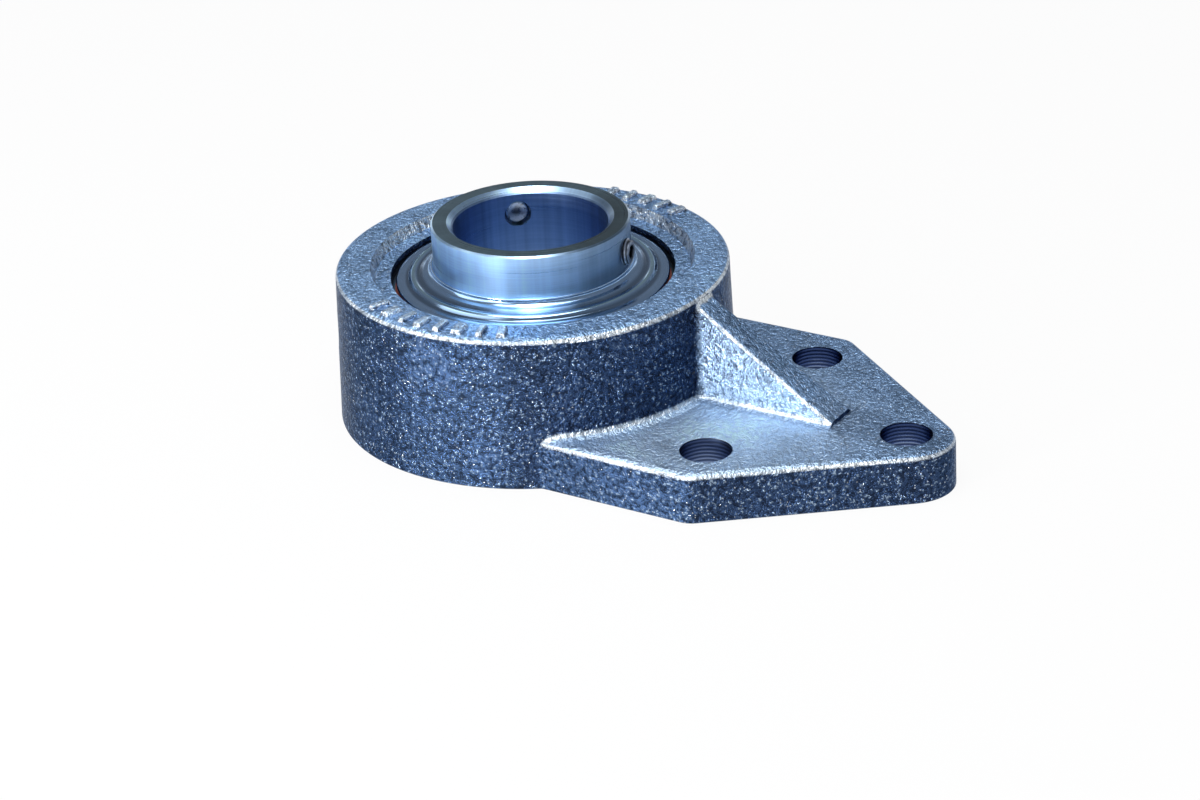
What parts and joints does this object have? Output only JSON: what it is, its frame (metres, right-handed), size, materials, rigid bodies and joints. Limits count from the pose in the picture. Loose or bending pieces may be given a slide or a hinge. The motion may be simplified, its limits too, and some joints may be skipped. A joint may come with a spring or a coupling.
{
  "type": "flange bearing unit",
  "caption": "Cast flange bracket housing with a boss, rib and bolting plate, holding a self-aligning wide-inner-ring ball bearing locked by set screws.",
  "frame": {"origin": "bearing centre, on the shaft axis, 27.3 mm above the mounting face", "axes": "+Z along the shaft axis towards the collar with the set screws, +X from the shaft axis towards the tip of the bracket plate"},
  "size_m": [0.1924, 0.1172, 0.0575],
  "materials": {
    "plated_casting": "rough sand-cast skin, brightly plated, with a blue tint",
    "ring_steel": "ground bearing steel",
    "ball_steel": "polished bearing steel",
    "cage_steel": "pressed sheet steel",
    "flinger_steel": "pressed and plated sheet steel",
    "seal_rubber": "matt red-brown nitrile rubber",
    "screw_steel": "black oxide"
  },
  "bodies": {
    "housing": {"housing": "plated_casting"},
    "outer_ring": {"outer_ring": "ring_steel", "seal_upper": "seal_rubber", "seal_lower": "seal_rubber"},
    "inner_ring": {"inner_ring": "ring_steel", "flinger_upper": "flinger_steel", "flinger_lower": "flinger_steel"},
    "cage": {"cage_upper": "cage_steel", "cage_lower": "cage_steel", "cage_rivets": "cage_steel"},
    "ball_1": {"ball_1": "ball_steel"},
    "ball_2": {"ball_2": "ball_steel"},
    "ball_3": {"ball_3": "ball_steel"},
    "ball_4": {"ball_4": "ball_steel"},
    "ball_5": {"ball_5": "ball_steel"},
    "ball_6": {"ball_6": "ball_steel"},
    "ball_7": {"ball_7": "ball_steel"},
    "ball_8": {"ball_8": "ball_steel"},
    "ball_9": {"ball_9": "ball_steel"},
    "set_screw_1": {"set_screw_1": "screw_steel"},
    "set_screw_2": {"set_screw_2": "screw_steel"}
  },
  "joints": [
    {"name": "align", "type": "hinge", "parent": "housing", "child": "outer_ring", "pos_m": [0, 0, 0], "axis": [0, 1, 0], "range_deg": [-2, 2]},
    {"name": "shaft_spin", "type": "hinge", "parent": "outer_ring", "child": "inner_ring", "pos_m": [0, 0, 0], "axis": [0, 0, 1], "continuous": true},
    {"name": "cage_spin", "type": "hinge", "parent": "outer_ring", "child": "cage", "pos_m": [0, 0, 0], "axis": [0, 0, 1], "continuous": true},
    {"name": "ball_1_spin", "type": "hinge", "parent": "cage", "child": "ball_1", "pos_m": [0.0325, 0, 0], "axis": [0, 0, 1], "continuous": true},
    {"name": "ball_2_spin", "type": "hinge", "parent": "cage", "child": "ball_2", "pos_m": [0.0249, 0.02089, 0], "axis": [0, 0, 1], "continuous": true},
    {"name": "ball_3_spin", "type": "hinge", "parent": "cage", "child": "ball_3", "pos_m": [0.00564, 0.03201, 0], "axis": [0, 0, 1], "continuous": true},
    {"name": "ball_4_spin", "type": "hinge", "parent": "cage", "child": "ball_4", "pos_m": [-0.01625, 0.02815, 0], "axis": [0, 0, 1], "continuous": true},
    {"name": "ball_5_spin", "type": "hinge", "parent": "cage", "child": "ball_5", "pos_m": [-0.03054, 0.01112, 0], "axis": [0, 0, 1], "continuous": true},
    {"name": "ball_6_spin", "type": "hinge", "parent": "cage", "child": "ball_6", "pos_m": [-0.03054, -0.01112, 0], "axis": [0, 0, 1], "continuous": true},
    {"name": "ball_7_spin", "type": "hinge", "parent": "cage", "child": "ball_7", "pos_m": [-0.01625, -0.02815, 0], "axis": [0, 0, 1], "continuous": true},
    {"name": "ball_8_spin", "type": "hinge", "parent": "cage", "child": "ball_8", "pos_m": [0.00564, -0.03201, 0], "axis": [0, 0, 1], "continuous": true},
    {"name": "ball_9_spin", "type": "hinge", "parent": "cage", "child": "ball_9", "pos_m": [0.0249, -0.02089, 0], "axis": [0, 0, 1], "continuous": true},
    {"name": "set_screw_1_in", "type": "slide", "parent": "inner_ring", "child": "set_screw_1", "axis": [-0.9763, -0.2164, 0], "range_m": [0, 0.0015]},
    {"name": "set_screw_2_in", "type": "slide", "parent": "inner_ring", "child": "set_screw_2", "axis": [0.6756, -0.7373, 0], "range_m": [0, 0.0015]}
  ],
  "couplings": [
    {"joint": "cage_spin", "follows": "shaft_spin", "ratio": 0.40231},
    {"joint": "ball_1_spin", "follows": "shaft_spin", "ratio": -2.4614},
    {"joint": "ball_2_spin", "follows": "shaft_spin", "ratio": -2.4614},
    {"joint": "ball_3_spin", "follows": "shaft_spin", "ratio": -2.4614},
    {"joint": "ball_4_spin", "follows": "shaft_spin", "ratio": -2.4614},
    {"joint": "ball_5_spin", "follows": "shaft_spin", "ratio": -2.4614},
    {"joint": "ball_6_spin", "follows": "shaft_spin", "ratio": -2.4614},
    {"joint": "ball_7_spin", "follows": "shaft_spin", "ratio": -2.4614},
    {"joint": "ball_8_spin", "follows": "shaft_spin", "ratio": -2.4614},
    {"joint": "ball_9_spin", "follows": "shaft_spin", "ratio": -2.4614}
  ]
}
